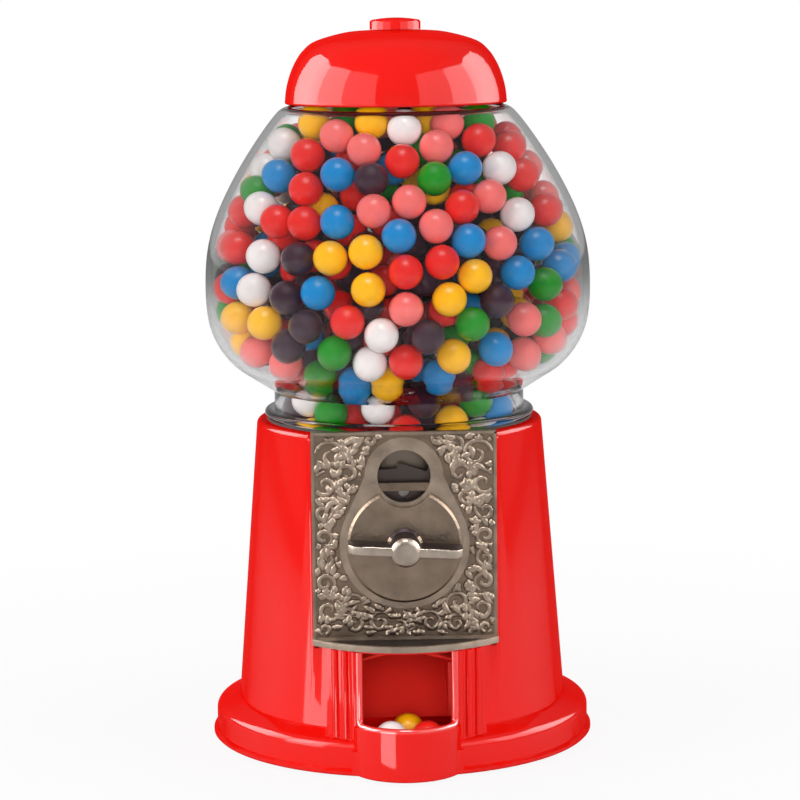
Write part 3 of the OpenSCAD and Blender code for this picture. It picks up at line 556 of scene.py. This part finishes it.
def antiqued(name, deep, high, low_y, high_y):
    """Worn metal that is dark in the relief's hollows and rubbed bright on its ridges."""
    mat = worn(name, high, mottle=1.0, roughness=0.34, smudge=0.3, scale=110, bump=0.8, Metallic=1.0)
    tree = mat.node_tree
    link = tree.links.new
    where = node(tree, "ShaderNodeTexCoord").outputs["Object"]
    axes = node(tree, "ShaderNodeSeparateXYZ")
    rise = node(tree, "ShaderNodeMapRange", From_Min=-low_y * 0.001, From_Max=-high_y * 0.001)
    blend = node(tree, "ShaderNodeMix", data_type="RGBA")
    share, colour_a, colour_b = (blend.inputs[k] for k in (0, 6, 7))
    colour_a.default_value = (*deep, 1)
    colour_b.default_value = (*high, 1)
    link(where, axes.inputs[0])
    link(axes.outputs["Y"], rise.inputs["Value"])
    link(rise.outputs["Result"], share)
    link(blend.outputs[2], tree.nodes["surface"].inputs["Colour"])
    uneven = node(tree, "ShaderNodeTexNoise", Scale=190.0, Detail=3.0)
    dents = node(tree, "ShaderNodeBump", Strength=0.55, Distance=0.0005)
    link(where, uneven.inputs["Vector"])
    link(uneven.outputs["Fac"], dents.inputs["Height"])
    link(dents.outputs["Normal"], tree.nodes["relief"].inputs["Normal"])
    return mat


def paint_shade(obj, mat, in_shade):
    """Gives a second, near-black material to the faces that the given test picks by their centre in mm and
    their normal: painted shade.
    """
    obj.data.materials.append(mat)
    for face in obj.data.polygons:
        if in_shade(face.center * 1000, face.normal):
            face.material_index = 1


def in_hood_tray(centre, normal):
    """Whether a face is the floor of the hood's tray, which is coloured near-black as painted shade."""
    return normal.z > 0.9 and centre.y < -70.7 and abs(centre.z - hood_tray_z) < 0.4


old_zinc = antiqued("old_zinc", (0.24, 0.178, 0.13), (0.47, 0.375, 0.295), 70.0, 71.1)
# A near-black zinc that stands in for shade on the faces it is put on: painted shade
shade_painted_zinc = worn("shade_painted_zinc", (0.045, 0.032, 0.034), mottle=0.3, roughness=0.45, smudge=0.2, scale=90,
                  bump=0.5, Metallic=1.0)
for piece in (plate, scrollwork):
    dress(piece, old_zinc)
    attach(piece, "machine")
# The hood tray's floor gets the near-black zinc: painted shade
paint_shade(plate, shade_painted_zinc, in_hood_tray)
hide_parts("coin_plate")

# ---------------------------------------------------------------------------
# The handle: a zinc disc with a cross grip and a domed hub, cast in one and
# pressed on the shaft. Thumbs have polished the grip's edges brighter.
# ---------------------------------------------------------------------------

disc_r, disc_back, disc_face = 27.2, 71, 74.2
grip_half, grip_thickness, hub_back = 26.9, 4.6, 73.7
bite_r, bore_end, rest_tilt = 14.5, -80.2, 3

disc_outline = [(0, disc_back), (26.8, disc_back), (disc_r, 71.5), (disc_r, 73.1), (26, disc_face),
                (0, disc_face)]
hub_outline = ([(0, hub_back), (8.6, hub_back), (8.6, 75.2), (7.3, 76.2)] + arc(3.8, 88, 3.5, 0, 90)
               + [(0, 91.6)])
grip_right = [(20.2, -90.2), (24.6, -88.9), (grip_half, -85.2), (grip_half, -hub_back)]
grip_outline = [(-x, y) for x, y in grip_right[::-1]] + grip_right

handle = facing_front(turned("handle_casting", disc_outline, 144))
grip = slab("grip", grip_outline, -grip_thickness / 2, grip_thickness / 2)
fuse(handle, ease_edges(grip, 0.9, 20, 3))
fuse(handle, facing_front(turned("hub", hub_outline, 72)))
cut(handle, rod("shaft_bore", shaft_bore_r, (0, plate_face, 0), (0, bore_end, 0), 48))
tilt = Matrix.Rotation(math.radians(rest_tilt), 4, "Y")
handle.data.transform(Matrix.Translation(mm(0, 0, handle_z)) @ tilt)
cut(handle, rod("bite", bite_r, (0, plate_face, window_z), (0, -disc_face - 1, window_z), 96))
ease_edges(handle, 0.35)


def on_grip_top(centre, normal):
    """Whether a face looks up from the grip or the hub; these faces are coloured near-black as painted shade.
    """
    return normal.z > 0.35 and -89.6 < centre.y < -74.3 and abs(centre.z - handle_z) < 9.5


polished_zinc = antiqued("polished_zinc", (0.29, 0.22, 0.165), (0.46, 0.385, 0.32), 76, 89)
dress(handle, polished_zinc)
# The upward faces of the grip and the hub get the near-black zinc: painted shade
paint_shade(handle, shade_painted_zinc, on_grip_top)
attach(handle, "crank")
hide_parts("handle")

# ---------------------------------------------------------------------------
# The mechanism behind the plate: a dark cast coin carrier with a ratchet rim
# and a cast pinion, on a plated steel shaft with its nut, and the backplate
# with the pawl, its pin and its spring, all of plated steel.
# ---------------------------------------------------------------------------

dark_zinc = worn("dark_zinc", (0.11, 0.088, 0.08), mottle=0.5, roughness=0.4, smudge=0.25, scale=70, bump=0.4,
                 Metallic=1.0)
for name in ("coin_carrier", "drive_pinion"):
    dress(nodes[name], dark_zinc)
for name in ("handle_shaft", "pinion_nut", "mechanism_backplate", "mechanism_screws", "plate_screws",
             "pawl", "pawl_pivot", "pawl_spring"):
    dress(nodes[name], zinc_plated)

# ---------------------------------------------------------------------------
# The gumballs: sugar-shelled balls 16 mm across, poured in through the globe's
# mouth, so they lie in no order. Each colour has a glossy dyed shell.
# ---------------------------------------------------------------------------

gum_r, gum_play, glass_wall = 8, 0.35, 3.2
globe_r, globe_z, neck_r, mouth_r = 93.9, 159.1, 61.2, 49.5
hopper_top, hopper_limit = 171, 49.6


def flow(points, n=6):
    """A smooth line through the points."""
    out = []
    for i in range(len(points) - 1):
        p = [Vector(points[max(0, min(len(points) - 1, k))]) for k in (i - 1, i, i + 1, i + 2)]
        for k in range(n):
            t = k / n
            slope = (p[2] - p[0]) * t
            bend = (2 * p[0] - 5 * p[1] + 4 * p[2] - p[3]) * t * t
            out.append(tuple(0.5 * (2 * p[1] + slope + bend + (3 * p[1] - p[0] - 3 * p[2] + p[3]) * t ** 3)))
    return out + [tuple(points[-1])]


def drawn_in(line, t):
    """The line moved by t towards its left side, which is inwards on one that runs up the outside."""
    out = []
    for i, p in enumerate(line):
        a, b = Vector(line[max(i - 1, 0)]), Vector(line[min(i + 1, len(line) - 1)])
        d = (b - a).normalized()
        out.append((p[0] - t * d.y, p[1] + t * d.x))
    return out


bowl = flow([(neck_r, 13), (0.752 * globe_r, 19), (0.859 * globe_r, 26), (0.939 * globe_r, 35.5),
             (0.986 * globe_r, 47), (globe_r, 63), (0.986 * globe_r, 82), (0.931 * globe_r, 99.8),
             (0.83 * globe_r, 119), (0.711 * globe_r, 136.5), (0.612 * globe_r, 148.4), (52.1, 151.4),
             (mouth_r, 153.2)])
glass_line = [(neck_r, 0.1), (neck_r, 6), (neck_r, 12)] + bowl + [(mouth_r, 159)]
glass_line = [(r, z + globe_z) for r, z in glass_line]
heap_limit = np.array(drawn_in(glass_line, glass_wall + gum_r + gum_play))


def limit_r(z):
    """How far from the axis a ball's centre may lie at height z."""
    return np.where(z < hopper_top, hopper_limit, np.interp(z, heap_limit[:, 1], heap_limit[:, 0]))


gum_colours = {
    "red": (0.78, 0.012, 0.008), "pink": (0.90, 0.16, 0.15), "yellow": (1.0, 0.50, 0.002),
    "blue": (0.001, 0.225, 0.56), "green": (0.001, 0.24, 0.003), "white": (0.88, 0.82, 0.81),
    "purple": (0.034, 0.010, 0.022)}
gum = {}
for name, colour in gum_colours.items():
    gum[name] = worn("gum_" + name, colour, mottle=0.10, roughness=0.3, smudge=0.2, scale=120, bump=0.12,
                     Specular_IOR_Level=0.1, Coat_Weight=1.0, Coat_Roughness=0.28)
    dress(nodes["gumballs_" + name], gum[name])
for name in ("white", "yellow", "red"):
    dress(nodes["chute_gumball_" + name], gum[name])

# The balls inside the heap, behind those that lie against the glass. Places are tried
# at random, and each that is clear of the front layer and of the others is kept.
tries, heap_reach, heap_low, heap_high = 60000, 76, 142, 298
behind_front, apart = 16.3, 16.1
gen = np.random.default_rng(5)
inside = []
for _ in range(tries):
    place = np.array([gen.uniform(-heap_reach, heap_reach), gen.uniform(-heap_reach, heap_reach),
                      gen.uniform(heap_low, heap_high)])
    if math.hypot(place[0], place[1]) > limit_r(place[2]) - behind_front:
        continue
    if all(np.linalg.norm(place - other) > apart for other in inside):
        inside.append(place)

drop_selection()
bpy.ops.mesh.primitive_cube_add(size=0.02)
ball = bpy.context.object
bpy.ops.object.mode_set(mode="EDIT")
bpy.ops.mesh.select_all(action="SELECT")
bpy.ops.mesh.subdivide(number_cuts=3)
bpy.ops.transform.tosphere(value=1)
bpy.ops.object.mode_set(mode="OBJECT")
bpy.ops.object.shade_smooth()
reach = max(v.co.length for v in ball.data.vertices)
ball.data.transform(Matrix.Scale(gum_r * 0.001 / reach, 4))
# Half the hidden balls are dark purple, so that the gaps between the balls at the glass look dark: painted
# shade
shares_with_painted_shade = {"purple": 0.5, "red": 0.22, "pink": 0.08, "blue": 0.08, "green": 0.06, "yellow": 0.06}
picked = gen.choice(list(shares_with_painted_shade), len(inside), p=list(shares_with_painted_shade.values()))
for name in shares_with_painted_shade:
    drop_selection()
    for place in [p for p, n in zip(inside, picked) if n == name]:
        copy = bpy.data.objects.new("gum_inside_" + name, ball.data.copy())
        copy.data.transform(Matrix.Translation(mm(*place)))
        bpy.context.scene.collection.objects.link(copy)
        copy.select_set(True)
        bpy.context.view_layer.objects.active = copy
    bpy.ops.object.join()
    pile = bpy.context.object
    pile.name = pile.data.name = "gum_inside_" + name
    dress(pile, gum[name])
    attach(pile, "machine")
bpy.data.objects.remove(ball)

# ---------------------------------------------------------------------------
# The globe: blown clear glass with a thick neck, a rolled foot bead that
# stands on the gasket, and an open mouth under the lid.
# ---------------------------------------------------------------------------

bead_r, bead_z, bead_back = 1.9, 161.1, 61.0
bead_outline = ([(62.2, bead_z - bead_r), (64.1, bead_z - bead_r)] + arc(64.1, bead_z, bead_r, -90, 90, 10)
                + [(bead_back, bead_z + bead_r), (bead_back, bead_z - bead_r), (62.2, bead_z - bead_r)])
globe = turned("globe_glass", glass_line + drawn_in(glass_line, glass_wall)[::-1] + [glass_line[0]], 160)
fuse(globe, turned("globe_bead", bead_outline, 160))
smooth(globe, 50)


def mix_shaders(tree, share, first, second, output):
    """Shows the second shader by its share and the first one by the rest."""
    mix = node(tree, "ShaderNodeMixShader")
    for socket, source in zip(mix.inputs, (share, first.outputs[0], second.outputs[0])):
        tree.links.new(source, socket)
    tree.links.new(mix.outputs[0], tree.nodes[output].inputs["Surface"])


# Light passes straight through the glass to what it holds, so the heap isn't in its shadow
glass = shader("clear_glass", (1, 1, 1), Roughness=0.0, IOR=1.45, Transmission_Weight=1.0,
               Specular_IOR_Level=0.05, Specular_Tint=(0.4, 0.4, 0.4, 1))
tree = glass.node_tree
shadow = node(tree, "ShaderNodeLightPath").outputs["Is Shadow Ray"]
mix_shaders(tree, shadow, tree.nodes["Principled BSDF"], node(tree, "ShaderNodeBsdfTransparent"),
            "Material Output")
dress(globe, glass)
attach(globe, "machine")
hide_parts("globe")

# ---------------------------------------------------------------------------
# The lid: spun steel with a rolled edge, enamelled like the body, with a
# turned knob held by a screw from inside. It lifts off to fill the globe.
# ---------------------------------------------------------------------------

lid_z, lid_wall, edge_r, edge_z = 311.3, 1.6, 52.9, 312.2
ledge_inner, ledge_outer, ledge_low, ledge_high = 45, 52.4, 318.2, 319.7
knob_r, knob_low, knob_ease, knob_bore_r = 12.3, 346.6, 1.4, 2.45

lid_line = flow([(53.8, 0.9), (53.3, 6), (52.2, 11), (50.7, 15.5), (48.6, 20), (45.2, 25), (39, 29.92),
                 (24.8, 33.97), (12.3, 35.1), (2.6, 35.2)])
lid_outline = [(r, z + lid_z) for r, z in lid_line + drawn_in(lid_line, lid_wall)[::-1]]
ledge_outline = [(ledge_inner, ledge_low), (ledge_outer, ledge_low), (ledge_outer, ledge_high),
                 (ledge_inner, ledge_high), (ledge_inner, ledge_low)]
knob_outline = ([(0, knob_low), (knob_r, knob_low)] + arc(10.9, 349.9, knob_ease, 0, 75, 6)
                + [(7, 351.9), (3.5, 352.2), (0, 352.3)])
lid = turned("lid_spun", lid_outline + [lid_outline[0]], 160)
fuse(lid, turned("rolled_edge", arc(edge_r, edge_z, 1, 0, 360, 12), 160))
fuse(lid, turned("ledge", ledge_outline, 160))
smooth(lid, 40)
knob = turned("knob", knob_outline, 96)
cut(knob, rod("knob_bore", knob_bore_r, (0, 0, 345), (0, 0, 349.9), 32))
smooth(knob, 40)
for piece, stands_for in ((lid, "lid_shell"), (knob, "lid_knob")):
    dress(piece, red_enamel)
    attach(piece, "lid")
    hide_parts(stands_for)
dress(nodes["lid_screw"], zinc_plated)

# ---------------------------------------------------------------------------
# The table it stands on is matt white paper, in a white room with soft lamps.
# The paper's shadows fade out half a metre from the machine.
# ---------------------------------------------------------------------------

drop_selection()
bpy.ops.mesh.primitive_plane_add(size=12)
floor = bpy.context.object
floor.name = "floor"
paper = shader("paper", (0.6, 0.6, 0.6), Roughness=0.9)
tree = paper.node_tree
where = node(tree, "ShaderNodeTexCoord")
away = node(tree, "ShaderNodeVectorMath", operation="LENGTH")
fade = node(tree, "ShaderNodeMapRange", From_Min=0.12, From_Max=0.55, To_Min=0.9, To_Max=1.0)
tree.links.new(where.outputs["Object"], away.inputs[0])
tree.links.new(away.outputs["Value"], fade.inputs["Value"])
seen_directly = node(tree, "ShaderNodeLightPath").outputs["Is Camera Ray"]
whiteness = calc(tree, "MULTIPLY", fade.outputs["Result"], seen_directly)
white = node(tree, "ShaderNodeEmission", Color=(1, 1, 1, 1), Strength=1.0)
mix_shaders(tree, whiteness, tree.nodes["Principled BSDF"], white, "Material Output")
dress(floor, paper)

# The room is white to the camera and through the glass, shows in part in reflections,
# and gives less light than it shows
room_light, room_in_gloss = 0.24, 0.16
world = bpy.data.worlds.new("room")
bpy.context.scene.world = world
world.use_nodes = True
sky = world.node_tree
lit = sky.nodes["Background"]
lit.inputs["Color"].default_value = (1, 1, 1, 1)
lit.inputs["Strength"].default_value = room_light
seen = node(sky, "ShaderNodeBackground", Color=(1, 1, 1, 1), Strength=1.0)
path = node(sky, "ShaderNodeLightPath").outputs
unbounced = calc(sky, "LESS_THAN", calc(sky, "ADD", path["Diffuse Depth"], path["Glossy Depth"]), 0.5)
through = calc(sky, "MULTIPLY", path["Is Transmission Ray"], unbounced)
indirect = calc(sky, "MULTIPLY_ADD", path["Is Glossy Ray"], room_in_gloss, through)
shown = calc(sky, "ADD", path["Is Camera Ray"], indirect)
shown.node.use_clamp = True
mix_shaders(sky, shown, lit, seen, "World Output")


def softbox(name, turn, lift, reach, width, height, power, gloss=True, fill=True, aim=0.17):
    """An area lamp in metres and watts, turn degrees right of the front and lift degrees up.

    It stands reach metres from the machine's axis at the height aim, and faces it. With gloss
    off it doesn't show in shiny surfaces, and with fill off it only shows in them.
    """
    lamp = bpy.data.lights.new(name, "AREA")
    lamp.shape = "RECTANGLE"
    lamp.size, lamp.size_y, lamp.energy = width, height, power
    obj = bpy.data.objects.new(name, lamp)
    bpy.context.scene.collection.objects.link(obj)
    turn, lift = math.radians(turn), math.radians(lift)
    target = Vector((0, 0, aim))
    way = Vector((math.sin(turn) * math.cos(lift), -math.cos(turn) * math.cos(lift), math.sin(lift)))
    obj.location = target + way * reach
    obj.rotation_euler = (-way).to_track_quat("-Z", "Y").to_euler()
    obj.visible_camera = False
    obj.visible_glossy = obj.visible_transmission = gloss
    obj.visible_diffuse = fill
    return obj


def keep_off(name, lamps, pieces):
    """Keeps the light of these lamps off these pieces."""
    group = bpy.data.collections.new(name)
    for piece in pieces:
        group.objects.link(piece)
    for lamp in lamps:
        lamp.light_linking.receiver_collection = group
    for entry in group.collection_objects:
        entry.light_linking.link_state = "EXCLUDE"


fill_reach, panel_reach, panel_height, panel_aim = 1.9, 1.2, 1.03, 0.785
fills = {}
for name, turn, lift, width, power, aim in (
        ("fill_left", -68, 30, 1.3, 24, 0.17), ("fill_right", 72, 30, 1.3, 16.5, 0.17),
        ("fill_back", 180, 35, 1.3, 12, 0.17), ("fill_front", 0, 4, 0.9, 16, 0.1),
        ("fill_inside", 0, 9, 0.9, 11, 0.17), ("fill_top", 0, 80, 1.2, 5, 0.17)):
    fills[name] = softbox(name, turn, lift, fill_reach, width, width, power, gloss=False, aim=aim)
key = softbox("key", -4, 66, 1.5, 0.42, 0.42, 12, fill=False)
strips = [softbox("body_strip", -50, 0, 0.2, 0.075, 0.19, 0.2, fill=False, aim=0.0955),
          softbox("bump_strip", -13, 0, 0.128, 0.025, 0.03, 0.014, fill=False, aim=0.0155)]
panels = []
for side, strength in ((-1, 1.0), (1, 0.85)):
    for turn, width, power in ((40, 0.76, 4.5), (73, 0.64, 11), (110, 0.95, 27)):
        panels.append(softbox("panel", side * turn, 0, panel_reach, width, panel_height, power * strength,
                              fill=False, aim=panel_aim))
gumballs = [obj for obj in bpy.data.objects if obj.type == "MESH" and obj.name.startswith("gum")]
metalwork = [plate, scrollwork, handle]
keep_off("away_from_panels", panels, [globe] + gumballs)
keep_off("away_from_strips", strips, [globe, floor] + metalwork + gumballs)
keep_off("away_from_key", [key], [globe, lid, knob])
keep_off("away_from_fill", [fills["fill_inside"]], [casting, lip, lid, knob, floor] + metalwork)

# The camera stands a little left of the middle and looks slightly down
eye, target = Vector((-0.037, -1.3395, 0.3638)), Vector((0.0005, 0, 0.1656))
roll, focal_length, sensor_width = -0.6, 123.75, 36
camera = bpy.data.objects.new("camera", bpy.data.cameras.new("camera"))
bpy.context.scene.collection.objects.link(camera)
bpy.context.scene.camera = camera
camera.location = eye
look = (target - camera.location).to_track_quat("-Z", "Y")
camera.rotation_euler = (look.to_matrix() @ Matrix.Rotation(math.radians(roll), 3, "Z")).to_euler()
camera.data.lens = focal_length
camera.data.sensor_width = sensor_width
camera.data.clip_start = 0.01

bpy.context.scene.view_settings.view_transform = "Standard"
